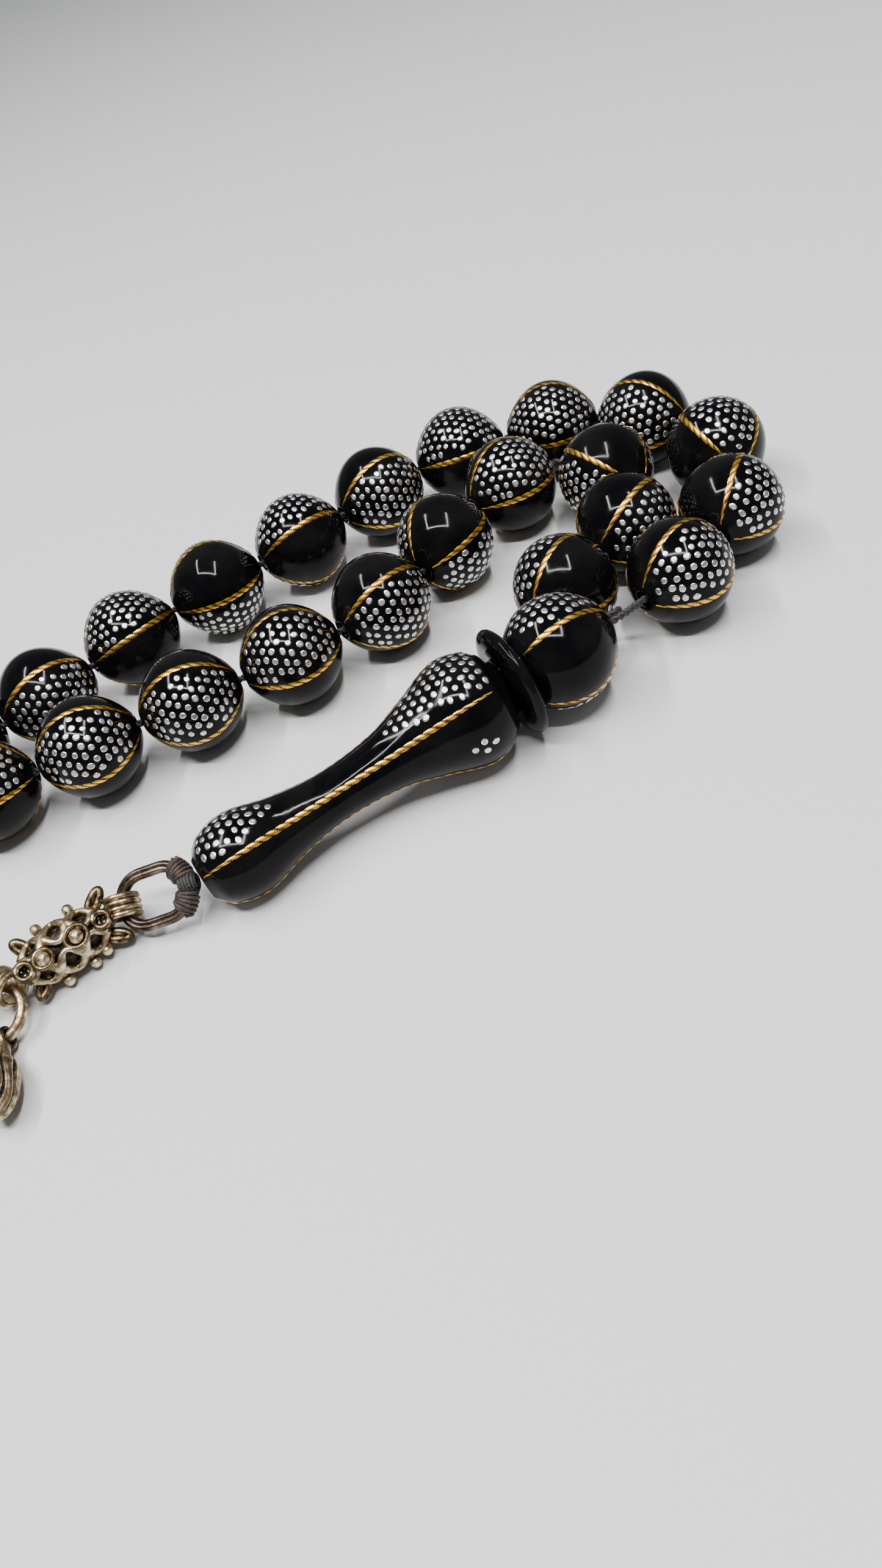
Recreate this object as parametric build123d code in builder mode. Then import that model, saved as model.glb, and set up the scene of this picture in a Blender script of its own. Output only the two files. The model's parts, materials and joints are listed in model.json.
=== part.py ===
"""Misbaha (prayer beads): 33 inlaid beads on a looped string, an imame and a silver tassel.

The string lies on a flat surface at z = 0. The imame points along +X, its tassel end at -X.
Millimetres, +Z up, origin under the middle of the whole object.
"""

from build123d import *

import os
from math import asin, cos, degrees, pi, radians, sin, tan

os.makedirs("parts", exist_ok=True)

UP = Vector(0, 0, 1)

# ---- Driving dimensions: beads and string ----

# Beads: a rounded lemon, turned about its bore.
BEAD_RADIUS = 5.9
BEAD_HALF_LENGTH = 6.175
BEAD_FULLNESS = 0.66
BORE_RADIUS = 1.0
MOUTH_CHAMFER = 0.2
MOUTH_RIM = 0.1

# Separators: a short barrel after every eleven beads.
SEPARATOR_RADIUS = 4.6
SEPARATOR_HALF_LENGTH = 3.6
SEPARATOR_FULLNESS = 0.4

# String: one cord, doubled inside the imame.
STRING_RADIUS = 0.45
STRAND_SPACING = 1.0
STRAND_START = -0.1
# A bend takes up to this share of its shorter run, and cuts its corner by up to this much.
CORNER_SHARE = 0.45
CORNER_DRIFT = 0.42

# ---- Driving dimensions: imame, along its own axis from the tip ----

IMAME_TIP_X = 2.0
IMAME_Y = -30.2
IMAME_BORE_RADIUS = 1.15
LOWER_BULGE_AT = 4.9
LOWER_BULGE_RADIUS = 4.5
UPPER_BULGE_AT = 30.6
UPPER_BULGE_RADIUS = 6.02
VASE_LENGTH = 34.7
# The vase's flank, as distance along the axis and radius: tip, bulge, waist, bulge and end.
VASE_FLANK = [
    (0, 2.2),
    (1.5, 3.75),
    (LOWER_BULGE_AT, LOWER_BULGE_RADIUS),
    (9.6, 3.36),
    (15.2, 2.66),
    (21.5, 3.14),
    (26.0, 4.5),
    (UPPER_BULGE_AT, UPPER_BULGE_RADIUS),
    (33.4, 5.5),
    (VASE_LENGTH, 4.5),
]
VASE_NECK_RADIUS = 3.1
VASE_NECK_LENGTH = 0.9
COLLAR_RADIUS = 6.1
COLLAR_THICKNESS = 2.4
KNOB_RADIUS = 6.0
KNOB_HALF_LENGTH = 6.4
KNOB_FULLNESS = 0.6
KNOB_BASE_TO_CENTRE = 4.7
REST_LIFT = 0.02

# ---- Driving dimensions: tassel ----

# Lashing: a tight knot with a sleeve of thread round the link's near bend.
LASHING_CENTRE = Vector(0.4, -29.5, 4.0)
LASHING_BALL_RADIUS = 1.35
LASHING_SLEEVE_RADIUS = 1.15
LASHING_SWEEP = 100

# Oval link: round wire between the lashing and the connector.
LINK_FAR_END = Vector(-6.2, -26.5, 3.0)
LINK_FACES = Vector(0, -0.6, 0.8)
LINK_WIDTH = 5.2
LINK_WIRE_RADIUS = 0.62
WIRE_CLEARANCE = 0.02

# Connector: an openwork barrel with a ribbed bail at each end.
CONNECTOR_FAR_END = Vector(-19.3, -27.9, 2.9)
CONNECTOR_FACES = Vector(0, -0.68, 0.73)
BARREL_RADIUS = 2.7
BARREL_END_RADIUS = 1.5
BARREL_LENGTH = 7.6
CAVITY_RADIUS = 2.0
CAVITY_END_RADIUS = 0.9
CAVITY_LENGTH = 6.0
WINDOW_LENGTH = 3.4
WINDOW_WIDTH = 1.3
NECK_RADIUS = 0.9
BEZEL_AT = 1.8
BEZEL_RADIUS = 1.05
BEZEL_WALL = 0.3
BEZEL_RISE = 2.9
BEZEL_DEPTH = 0.5
GRANULE_RADIUS = 0.55
GRANULE_CLEARANCE = 0.1
SOCKET_AT = 3.6
SOCKET_RISE = 2.1
SOCKET_RADIUS = 1.0
SOCKET_DEPTH = 0.5
BAIL_HOLE_RADIUS = 1.3
BAIL_RIB_RADIUS = 0.3
BAIL_RIBS = 4
LOWER_BAIL_HEADING = 303

# Jump ring, and the place round it where the pendant hangs.
RING_RADIUS = 2.8
RING_WIRE_RADIUS = 0.55
RING_HEADING = 225
RING_DIP = 18
PENDANT_PLACE = 38

# Pendant: a bud with a strap at its top, along its own axis from the strap's middle.
PENDANT_HEADING = 256
PENDANT_RISE = 9.5
PENDANT_RADIUS = 2.15
STRAP_HOLE_RADIUS = 0.8
STRAP_RADIUS = 1.2
# The bud's flank, as distance along the axis and radius.
PENDANT_FLANK = [
    (STRAP_RADIUS, 0.75),
    (2.2, 0.85),
    (3.6, 1.75),
    (5.6, PENDANT_RADIUS),
    (8.0, 1.85),
    (9.7, 0.9),
]
STRAP_WIDTH = 1.4
STRAP_EDGE_RADIUS = 0.15

# ---- The string's route ----

# Each row is the point where a run of the string starts, and what that run carries.
STRING_ROUTE = [
    (55.7, -29.1, "bead"),
    (67.9, -26.5, "bead"),
    (77.8, -18.8, "bead"),
    (80.8, -4.8, "bead"),
    (74.7, 6.1, "bead"),
    (63.7, 12.1, "bead"),
    (51.8, 15.6, "bead"),
    (39.5, 14.1, "bead"),
    (27.2, 13.0, "bead"),
    (14.8, 13.1, "bead"),
    (2.7, 10.6, "bead"),
    (-9.4, 8.2, "separator"),
    (-16.8, 9.4, "bead"),
    (-27.6, 15.5, "bead"),
    (-36.4, 24.4, "bead"),
    (-44.8, 33.6, "bead"),
    (-56.5, 38.6, "bead"),
    (-69.0, 36.6, "bead"),
    (-78.2, 27.8, "bead"),
    (-80.6, 15.4, "bead"),
    (-75.3, 3.9, "bead"),
    (-64.5, -2.6, "bead"),
    (-52.0, -2.4, "bead"),
    (-39.6, -0.1, "separator"),
    (-32.3, 0.5, "bead"),
    (-19.9, -0.5, "bead"),
    (-7.9, -3.1, "bead"),
    (4.4, -4.6, "bead"),
    (16.6, -6.5, "bead"),
    (28.9, -7.8, "bead"),
    (41.1, -5.5, "bead"),
    (51.5, 1.2, "bead"),
    (65.0, 2.75, "slack"),
    (66.7, 0.45, "bead"),
    (68.5, -11.45, "slack"),
    (68.7, -13.95, "bead"),
    (57.4, -18.3, "bead"),
]
STRING_ROUTE_END = (45.9, -22.8)

# Where the first strand turns, between the knob and the first bead.
FIRST_STRAND_TURN = Vector(52.6, -30.7, 7.1)

# The second strand's slack: from the last bead down to the surface and up into the knob.
SECOND_STRAND_SLACK = [
    Vector(44.2, -23.4, 4.8),
    Vector(44.7, -24.2, 2.2),
    Vector(47.9, -23.9, 1.2),
    Vector(51.6, -25.6, 1.6),
    Vector(53.5, -26.9, 4.6),
    Vector(53.0, -29.7, 7.1),
]

# ---- Small helpers ----


def level(heading):
    """Unit vector along a compass heading in the horizontal plane."""
    return Vector(cos(radians(heading)), sin(radians(heading)), 0)


def dipped(heading, dip):
    """Unit vector along a heading, pointing down by dip degrees."""
    return level(heading) * cos(radians(dip)) - UP * sin(radians(dip))


def plane_along(origin, axis, side):
    """Plane whose local X is the axis, with local Y as near to side as it can be."""
    return Plane(origin=origin, x_dir=axis, z_dir=axis.cross(side))


def plane_facing(origin, axis, facing):
    """Plane whose local X is the axis, with local Z as near to facing as it can be."""
    return Plane(origin=origin, x_dir=axis, z_dir=axis.cross(facing).cross(axis))


def local_axis(plane):
    """The plane's local X as an axis to turn about."""
    return Axis(plane.origin, plane.x_dir)


def local_point(plane, x, y=0, z=0):
    """A point given in a plane's own coordinates."""
    return plane.from_local_coords(Vector(x, y, z))


def spindle_face(mouth_radius, radius, half_length, fullness):
    """Distance from a lemon's middle at which it has narrowed to its mouth."""
    return half_length * (1 - (mouth_radius / radius) ** (1 / fullness)) ** 0.5


def spindle_outline(radius, half_length, fullness, start, stop, steps=14):
    """Points along a lemon's flank, closer together towards its ends."""
    middle = (start + stop) / 2
    reach = (stop - start) / 2
    places = [middle - reach * cos(pi * step / steps) for step in range(steps + 1)]
    return [(x, radius * (1 - (x / half_length) ** 2) ** fullness) for x in places]


def bored_profile(plane, outline, bore_radius):
    """Half section between an outline and a chamfered bore along the plane's local X."""
    start = outline[0]
    stop = outline[-1]
    mouth_radius = bore_radius + MOUTH_CHAMFER
    with BuildSketch(plane) as profile:
        with BuildLine():
            Spline(*outline)
            Polyline(
                stop,
                (stop[0], mouth_radius),
                (stop[0] - MOUTH_CHAMFER, bore_radius),
                (start[0] + MOUTH_CHAMFER, bore_radius),
                (start[0], mouth_radius),
                start,
            )
        make_face()
    return profile.sketch


def save(builder, name):
    """Label a finished piece and write it to its own file."""
    builder.part.label = name
    export_step(builder.part, f"parts/{name}.step")


# ---- Beads and separators ----

END_RADIUS = BORE_RADIUS + MOUTH_CHAMFER + MOUTH_RIM
BEAD_FACE = spindle_face(END_RADIUS, BEAD_RADIUS, BEAD_HALF_LENGTH, BEAD_FULLNESS)
BEAD_OUTLINE = spindle_outline(BEAD_RADIUS, BEAD_HALF_LENGTH, BEAD_FULLNESS, -BEAD_FACE, BEAD_FACE)
SEPARATOR_FACE = spindle_face(
    END_RADIUS, SEPARATOR_RADIUS, SEPARATOR_HALF_LENGTH, SEPARATOR_FULLNESS
)
SEPARATOR_OUTLINE = spindle_outline(
    SEPARATOR_RADIUS,
    SEPARATOR_HALF_LENGTH,
    SEPARATOR_FULLNESS,
    -SEPARATOR_FACE,
    SEPARATOR_FACE,
)

route_points = [Vector(x, y, BEAD_RADIUS) for x, y, _ in STRING_ROUTE]
route_points.append(Vector(*STRING_ROUTE_END, BEAD_RADIUS))
runs = [
    (piece, plane_along((start + stop) / 2, (stop - start).normalized(), UP))
    for (_, _, piece), start, stop in zip(STRING_ROUTE, route_points, route_points[1:])
]
bead_planes = [plane for piece, plane in runs if piece == "bead"]
separator_planes = [plane for piece, plane in runs if piece == "separator"]

for number, plane in enumerate(bead_planes, start=1):
    with BuildPart() as bead:
        revolve(bored_profile(plane, BEAD_OUTLINE, BORE_RADIUS), axis=local_axis(plane))
    save(bead, f"bead_{number:02d}")

for number, plane in enumerate(separator_planes, start=1):
    with BuildPart() as separator:
        revolve(bored_profile(plane, SEPARATOR_OUTLINE, BORE_RADIUS), axis=local_axis(plane))
    save(separator, f"separator_{number}")

# ---- Imame: vase, collar and knob ----

# The vase rests on its two bulges, so their radii set its lean and height.
LEAN = degrees(
    asin((UPPER_BULGE_RADIUS - LOWER_BULGE_RADIUS) / (UPPER_BULGE_AT - LOWER_BULGE_AT))
)
IMAME_AXIS = dipped(0, -LEAN)
IMAME_TIP = Vector(
    IMAME_TIP_X,
    IMAME_Y,
    LOWER_BULGE_RADIUS * cos(radians(LEAN)) - LOWER_BULGE_AT * sin(radians(LEAN)) + REST_LIFT,
)
IMAME_PLANE = plane_along(IMAME_TIP, IMAME_AXIS, level(90))
COLLAR_AT = VASE_LENGTH + VASE_NECK_LENGTH
KNOB_BASE_AT = COLLAR_AT + COLLAR_THICKNESS
KNOB_CENTRE_AT = KNOB_BASE_AT + KNOB_BASE_TO_CENTRE
KNOB_PLANE = plane_along(local_point(IMAME_PLANE, KNOB_CENTRE_AT), IMAME_AXIS, level(90))

with BuildPart() as imame_body:
    with BuildSketch(IMAME_PLANE):
        with BuildLine():
            Spline(*VASE_FLANK)
            Polyline(
                VASE_FLANK[-1],
                (VASE_LENGTH, VASE_NECK_RADIUS),
                (COLLAR_AT, VASE_NECK_RADIUS),
                (COLLAR_AT, IMAME_BORE_RADIUS),
                (0, IMAME_BORE_RADIUS),
                VASE_FLANK[0],
            )
        make_face()
    revolve(axis=local_axis(IMAME_PLANE))
save(imame_body, "imame_body")

# The collar's rim is a half round as wide as the collar is thick.
RIM_RADIUS = COLLAR_THICKNESS / 2
RIM_CENTRE = COLLAR_RADIUS - RIM_RADIUS

with BuildPart() as imame_collar:
    with BuildSketch(IMAME_PLANE):
        with BuildLine():
            Polyline(
                (COLLAR_AT, RIM_CENTRE),
                (COLLAR_AT, IMAME_BORE_RADIUS),
                (KNOB_BASE_AT, IMAME_BORE_RADIUS),
                (KNOB_BASE_AT, RIM_CENTRE),
            )
            ThreePointArc(
                (KNOB_BASE_AT, RIM_CENTRE),
                (COLLAR_AT + RIM_RADIUS, COLLAR_RADIUS),
                (COLLAR_AT, RIM_CENTRE),
            )
        make_face()
    revolve(axis=local_axis(IMAME_PLANE))
save(imame_collar, "imame_collar")

KNOB_FACE = spindle_face(
    IMAME_BORE_RADIUS + MOUTH_CHAMFER + MOUTH_RIM, KNOB_RADIUS, KNOB_HALF_LENGTH, KNOB_FULLNESS
)
KNOB_OUTLINE = spindle_outline(
    KNOB_RADIUS, KNOB_HALF_LENGTH, KNOB_FULLNESS, -KNOB_BASE_TO_CENTRE, KNOB_FACE
)
with BuildPart() as imame_knob:
    revolve(
        bored_profile(KNOB_PLANE, KNOB_OUTLINE, IMAME_BORE_RADIUS),
        axis=local_axis(KNOB_PLANE),
    )
save(imame_knob, "imame_knob")

# ---- String ----


def corner_radius(before, corner, after):
    """Bend radius that its runs allow and that keeps the string clear of the bore's wall."""
    half_turn = radians((corner - before).get_angle(after - corner) / 2)
    shorter_run = min((corner - before).length, (after - corner).length)
    room_in_runs = CORNER_SHARE * shorter_run / tan(half_turn)
    room_in_bore = CORNER_DRIFT / (1 / cos(half_turn) - 1)
    return min(room_in_runs, room_in_bore)


string_points = [
    local_point(IMAME_PLANE, STRAND_START, -STRAND_SPACING / 2),
    FIRST_STRAND_TURN,
    *route_points,
    *SECOND_STRAND_SLACK,
    local_point(IMAME_PLANE, STRAND_START, STRAND_SPACING / 2),
]
bend_radii = [
    corner_radius(*corner) for corner in zip(string_points, string_points[1:], string_points[2:])
]

with BuildPart() as string:
    with BuildLine() as string_path:
        FilletPolyline(*string_points, radius=bend_radii)
    string_line = string_path.wire()
    with BuildSketch(Plane(origin=string_line @ 0, z_dir=string_line % 0)):
        Circle(STRING_RADIUS)
    sweep(path=string_line)
save(string, "string")

section_times_length = pi * STRING_RADIUS**2 * string_line.length
print("string bend radii:", [round(radius, 1) for radius in bend_radii])
print(f"string length {string_line.length:.1f} mm")
print(f"string volume {string.part.volume:.2f} mm3, section x length {section_times_length:.2f} mm3")

# ---- Oval link and the lashing that ties it to the string ----

LINK_AXIS = (LINK_FAR_END - LASHING_CENTRE).normalized()
LINK_LENGTH = (LINK_FAR_END - LASHING_CENTRE).length
LINK_PLANE = plane_facing(LASHING_CENTRE, LINK_AXIS, LINK_FACES)
LINK_BEND = LINK_WIDTH / 2
LASHING_PLANE = plane_facing(local_point(LINK_PLANE, LINK_BEND), LINK_AXIS, LINK_FACES)

with BuildPart() as oval_link:
    with BuildLine(LINK_PLANE) as link_path:
        Line((LINK_BEND, -LINK_BEND), (LINK_LENGTH - LINK_BEND, -LINK_BEND))
        CenterArc((LINK_LENGTH - LINK_BEND, 0), LINK_BEND, -90, 180)
        Line((LINK_LENGTH - LINK_BEND, LINK_BEND), (LINK_BEND, LINK_BEND))
        CenterArc((LINK_BEND, 0), LINK_BEND, 90, 180)
    link_line = link_path.wire()
    with BuildSketch(Plane(origin=link_line @ 0, z_dir=link_line % 0)):
        Circle(LINK_WIRE_RADIUS)
    sweep(path=link_line)
save(oval_link, "oval_link")

with BuildPart() as lashing:
    with Locations(LASHING_CENTRE):
        Sphere(LASHING_BALL_RADIUS)
    with Locations(LASHING_PLANE.rotated((0, 0, 180 - LASHING_SWEEP / 2))):
        Torus(LINK_BEND, LASHING_SLEEVE_RADIUS, major_angle=LASHING_SWEEP, align=None)
    with Locations(LASHING_PLANE):
        Torus(LINK_BEND, LINK_WIRE_RADIUS + WIRE_CLEARANCE, mode=Mode.SUBTRACT)
save(lashing, "lashing")

# ---- Connector: openwork barrel, granules and a ribbed bail at each end ----

CONNECTOR_AXIS = (CONNECTOR_FAR_END - LINK_FAR_END).normalized()
CONNECTOR_REACH = (CONNECTOR_FAR_END - LINK_FAR_END).length / 2
CONNECTOR_MIDDLE = (LINK_FAR_END + CONNECTOR_FAR_END) / 2
CONNECTOR_PLANE = plane_facing(CONNECTOR_MIDDLE, CONNECTOR_AXIS, CONNECTOR_FACES)
UPPER_BAIL_AXIS = LINK_PLANE.y_dir
LOWER_BAIL_AXIS = level(LOWER_BAIL_HEADING)
BAIL_LENGTH = BAIL_RIBS * 2 * BAIL_RIB_RADIUS
BAIL_REACH = BAIL_HOLE_RADIUS + 2 * BAIL_RIB_RADIUS + WIRE_CLEARANCE


def side_plane(side, along, rise):
    """Plane on one of the connector's four sides, its local Z facing out of that side."""
    facing = CONNECTOR_PLANE.rotated((90 * side, 0, 0))
    return Plane(
        origin=local_point(facing, along, 0, rise), x_dir=facing.x_dir, z_dir=facing.z_dir
    )


# The barrel is turned from a half section that stands upright, clear of its windows.
SEAM_PLANE = plane_facing(CONNECTOR_MIDDLE, CONNECTOR_AXIS, UP)
HALF_BARREL = BARREL_LENGTH / 2
HALF_CAVITY = CAVITY_LENGTH / 2
NECK_REACH = CONNECTOR_REACH - BAIL_HOLE_RADIUS

# Bezels and sockets stand on the connector's front and back, near both ends.
BEZEL_PLACES = [(side, direction) for side in (0, 2) for direction in (-1, 1)]

with BuildPart() as connector_barrel:
    with BuildSketch(SEAM_PLANE):
        with BuildLine():
            Spline(
                (-HALF_BARREL, BARREL_END_RADIUS),
                (0, BARREL_RADIUS),
                (HALF_BARREL, BARREL_END_RADIUS),
            )
            Polyline(
                (HALF_BARREL, BARREL_END_RADIUS),
                (HALF_BARREL, NECK_RADIUS),
                (NECK_REACH, NECK_RADIUS),
                (NECK_REACH, 0),
                (-NECK_REACH, 0),
                (-NECK_REACH, NECK_RADIUS),
                (-HALF_BARREL, NECK_RADIUS),
                (-HALF_BARREL, BARREL_END_RADIUS),
            )
        make_face()
    revolve(axis=local_axis(CONNECTOR_PLANE))
    for side, direction in BEZEL_PLACES:
        with Locations(side_plane(side, direction * BEZEL_AT, BEZEL_RISE / 2)):
            Cylinder(BEZEL_RADIUS, BEZEL_RISE)
        with Locations(side_plane(side, direction * SOCKET_AT, SOCKET_RISE / 2)):
            Cylinder(SOCKET_RADIUS, SOCKET_RISE)
    with BuildSketch(SEAM_PLANE):
        with BuildLine():
            Spline(
                (-HALF_CAVITY, CAVITY_END_RADIUS),
                (0, CAVITY_RADIUS),
                (HALF_CAVITY, CAVITY_END_RADIUS),
            )
            Polyline(
                (HALF_CAVITY, CAVITY_END_RADIUS),
                (HALF_CAVITY, 0),
                (-HALF_CAVITY, 0),
                (-HALF_CAVITY, CAVITY_END_RADIUS),
            )
        make_face()
    revolve(axis=local_axis(CONNECTOR_PLANE), mode=Mode.SUBTRACT)
    for side, direction in BEZEL_PLACES:
        with Locations(side_plane(side, direction * BEZEL_AT, BEZEL_RISE)):
            Cylinder(BEZEL_RADIUS - BEZEL_WALL, 2 * BEZEL_DEPTH, mode=Mode.SUBTRACT)
        with Locations(side_plane(side, direction * SOCKET_AT, SOCKET_RISE)):
            Cylinder(SOCKET_RADIUS - BEZEL_WALL, 2 * SOCKET_DEPTH, mode=Mode.SUBTRACT)
    for side in (1, 3):
        with BuildSketch(side_plane(side, 0, 0)):
            SlotOverall(WINDOW_LENGTH, WINDOW_WIDTH)
        extrude(amount=BARREL_RADIUS + GRANULE_RADIUS, mode=Mode.SUBTRACT)
    with Locations(
        Plane(LINK_FAR_END, z_dir=UPPER_BAIL_AXIS),
        Plane(CONNECTOR_FAR_END, z_dir=LOWER_BAIL_AXIS),
    ):
        Cylinder(BAIL_REACH, BAIL_LENGTH + 2 * BAIL_RIB_RADIUS, mode=Mode.SUBTRACT)
save(connector_barrel, "connector_barrel")

# Granules sit in the bezels at front and back, and on the barrel's flank at its sides.
FLANK_DROP = (BARREL_RADIUS - BARREL_END_RADIUS) * (BEZEL_AT / HALF_BARREL) ** 2
GRANULE_SEATS = [BEZEL_RISE - BEZEL_DEPTH, BARREL_RADIUS - FLANK_DROP]

with BuildPart() as connector_granules:
    for side in range(4):
        rise = GRANULE_SEATS[side % 2] + GRANULE_RADIUS + GRANULE_CLEARANCE
        for direction in (-1, 1):
            with Locations(side_plane(side, direction * BEZEL_AT, rise)):
                Sphere(GRANULE_RADIUS)
save(connector_granules, "connector_granules")


def hoop_section(plane, inner_radius, ribs, rib_radius):
    """Section of a ribbed hoop turned about the plane's local X."""
    with BuildSketch(plane) as section:
        with Locations((0, inner_radius + rib_radius / 2)):
            Rectangle(2 * rib_radius * ribs - rib_radius, rib_radius)
        with Locations((0, inner_radius + rib_radius)):
            with GridLocations(2 * rib_radius, 0, ribs, 1):
                Circle(rib_radius)
    return section.sketch


for name, centre, bail_axis in (
    ("connector_upper_bail", LINK_FAR_END, UPPER_BAIL_AXIS),
    ("connector_lower_bail", CONNECTOR_FAR_END, LOWER_BAIL_AXIS),
):
    bail_plane = plane_along(centre, bail_axis, CONNECTOR_AXIS)
    with BuildPart() as bail:
        revolve(
            hoop_section(bail_plane, BAIL_HOLE_RADIUS, BAIL_RIBS, BAIL_RIB_RADIUS),
            axis=local_axis(bail_plane),
        )
    save(bail, name)

# ---- Jump ring and pendant ----

RING_OUTWARD = dipped(RING_HEADING, RING_DIP)
RING_CENTRE = CONNECTOR_FAR_END + RING_OUTWARD * RING_RADIUS
RING_PLANE = plane_along(RING_CENTRE, RING_OUTWARD, level(RING_HEADING + 90))

with BuildPart() as jump_ring:
    with Locations(RING_PLANE):
        Torus(RING_RADIUS, RING_WIRE_RADIUS)
save(jump_ring, "jump_ring")

PENDANT_ANGLE = radians(PENDANT_PLACE)
PENDANT_TOP = local_point(
    RING_PLANE, RING_RADIUS * cos(PENDANT_ANGLE), RING_RADIUS * sin(PENDANT_ANGLE)
)
STRAP_AXIS = local_point(RING_PLANE, -sin(PENDANT_ANGLE), cos(PENDANT_ANGLE)) - RING_CENTRE
PENDANT_AXIS = dipped(PENDANT_HEADING, -PENDANT_RISE)
PENDANT_PLANE = plane_along(PENDANT_TOP, PENDANT_AXIS, UP)
STRAP_PLANE = plane_along(PENDANT_TOP, STRAP_AXIS, PENDANT_AXIS)

with BuildPart() as pendant:
    with BuildSketch(PENDANT_PLANE):
        with BuildLine():
            Spline(*PENDANT_FLANK)
            Polyline(
                PENDANT_FLANK[-1],
                (PENDANT_FLANK[-1][0], 0),
                (STRAP_HOLE_RADIUS, 0),
                (STRAP_HOLE_RADIUS, PENDANT_FLANK[0][1]),
                PENDANT_FLANK[0],
            )
        make_face()
    revolve(axis=local_axis(PENDANT_PLANE))
    with BuildSketch(STRAP_PLANE):
        with Locations((0, (STRAP_HOLE_RADIUS + STRAP_RADIUS) / 2)):
            RectangleRounded(STRAP_WIDTH, STRAP_RADIUS - STRAP_HOLE_RADIUS, STRAP_EDGE_RADIUS)
    revolve(axis=local_axis(STRAP_PLANE))
    with Locations(plane_facing(PENDANT_TOP, PENDANT_AXIS, STRAP_AXIS)):
        Cylinder(STRAP_HOLE_RADIUS, 2 * PENDANT_RADIUS, mode=Mode.SUBTRACT)
save(pendant, "pendant")
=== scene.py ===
"""Finished look of the misbaha: inlaid black beads, twisted thread and an antique silver tassel."""

import json
from math import acos, cos, exp, pi, radians, sin, sqrt, tau
from random import Random

import bpy
from mathutils import Matrix, Vector


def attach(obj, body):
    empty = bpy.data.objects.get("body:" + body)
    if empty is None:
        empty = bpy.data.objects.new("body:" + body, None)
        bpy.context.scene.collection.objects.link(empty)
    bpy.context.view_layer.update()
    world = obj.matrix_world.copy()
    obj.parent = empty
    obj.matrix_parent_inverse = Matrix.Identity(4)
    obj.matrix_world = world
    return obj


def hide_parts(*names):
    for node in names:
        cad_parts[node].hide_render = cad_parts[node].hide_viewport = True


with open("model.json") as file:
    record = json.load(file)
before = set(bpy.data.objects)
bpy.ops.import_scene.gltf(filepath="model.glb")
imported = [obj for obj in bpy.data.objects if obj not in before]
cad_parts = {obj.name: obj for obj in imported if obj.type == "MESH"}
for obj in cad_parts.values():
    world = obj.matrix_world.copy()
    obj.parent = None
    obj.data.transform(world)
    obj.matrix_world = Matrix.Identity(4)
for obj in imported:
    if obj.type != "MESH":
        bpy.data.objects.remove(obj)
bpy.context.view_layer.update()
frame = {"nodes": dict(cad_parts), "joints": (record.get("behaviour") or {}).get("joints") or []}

MM = 0.001
UP = Vector((0, 0, 1))
ROOT = "string_and_imame"

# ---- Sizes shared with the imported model, in millimetres ----

BEAD_RADIUS = 5.9
BEAD_HALF_LENGTH = 6.175
BEAD_FULLNESS = 0.66
BEAD_PIN_REACH = 5.6
BORE_RADIUS = 1.0
MOUTH_RADIUS = 1.3
SEPARATOR_RADIUS = 4.6
SEPARATOR_HALF_LENGTH = 3.6
SEPARATOR_FULLNESS = 0.4
IMAME_TIP = Vector((2.0, -30.2, 4.2223))
IMAME_LEAN = 3.3907
IMAME_BORE_RADIUS = 1.15
COLLAR_AT = 35.6
COLLAR_THICKNESS = 2.4
COLLAR_RADIUS = 6.1
KNOB_CENTRE_AT = 42.7
KNOB_RADIUS = 6.0
KNOB_HALF_LENGTH = 6.4
KNOB_FULLNESS = 0.6
KNOB_BASE_TO_CENTRE = 4.7
KNOB_PINS_START = -3.9
STRAND_SPACING = 1.0
LINK_BEND = 2.6
LINK_WIRE_RADIUS = 0.62
CONNECTOR_FACES = Vector((0, -0.68, 0.73))
PENDANT_HEADING = 256
PENDANT_RISE = 9.5
FIRST_STRAND_TURN = Vector((52.6, -30.7, 7.1))
SECOND_STRAND_SLACK = [
    Vector((44.7, -24.2, 2.2)),
    Vector((47.9, -23.9, 1.2)),
    Vector((51.6, -25.6, 1.6)),
    Vector((53.5, -26.9, 4.6)),
    Vector((53.0, -29.7, 7.1)),
]

# ---- Look ----

PIN_RADIUS = 0.4
PIN_PITCH = 1.18
PIN_ROW_PITCH = PIN_PITCH * 0.87
PIN_SCATTER = 0.055
PIN_PROUD = 0.045
PIN_SUNK = 0.03
PIN_DISH = 0.01
PIN_MARGIN = 0.12
WIRE_HALF_WIDTH = 0.36
WIRE_PROUD = 0.05
WIRE_TWIST_PITCH = 1.15
WIRE_SLANT = 0.45
WIRE_STEP = 0.1
# Ridge height under which a face of the wire gets painted shade.
GROOVE_SHADE_LEVEL = 0.56
THREAD_PLY_RADIUS = 0.24
THREAD_PLY_OFFSET = 0.2
THREAD_TWIST_PITCH = 1.7
THREAD_STEP = 0.2

# Corners of the lamps' U in metres, the strips' width, and their watts for each metre.
LAMP_CORNERS = ((-0.08, 0.27, 0.46), (-0.25, 0.0, 0.48), (0.07, -0.26, 0.48), (0.2, 0.03, 0.5))
LAMP_WIDTH = 0.022
LAMP_POWER = 7.0
SURROUNDINGS_STRENGTH = 0.25
FLOOR_HALF_WIDTH = 4
FLOOR_LEVEL = -0.0001

# Where the camera is in metres, and where it points in degrees.
CAMERA_PLACE = (0.005, -0.1165, 0.084918)
CAMERA_HEADING = 75.1
CAMERA_DIP = 43.955
CAMERA_ROLL = -20.128
CAMERA_LENS = 27.06

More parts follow.
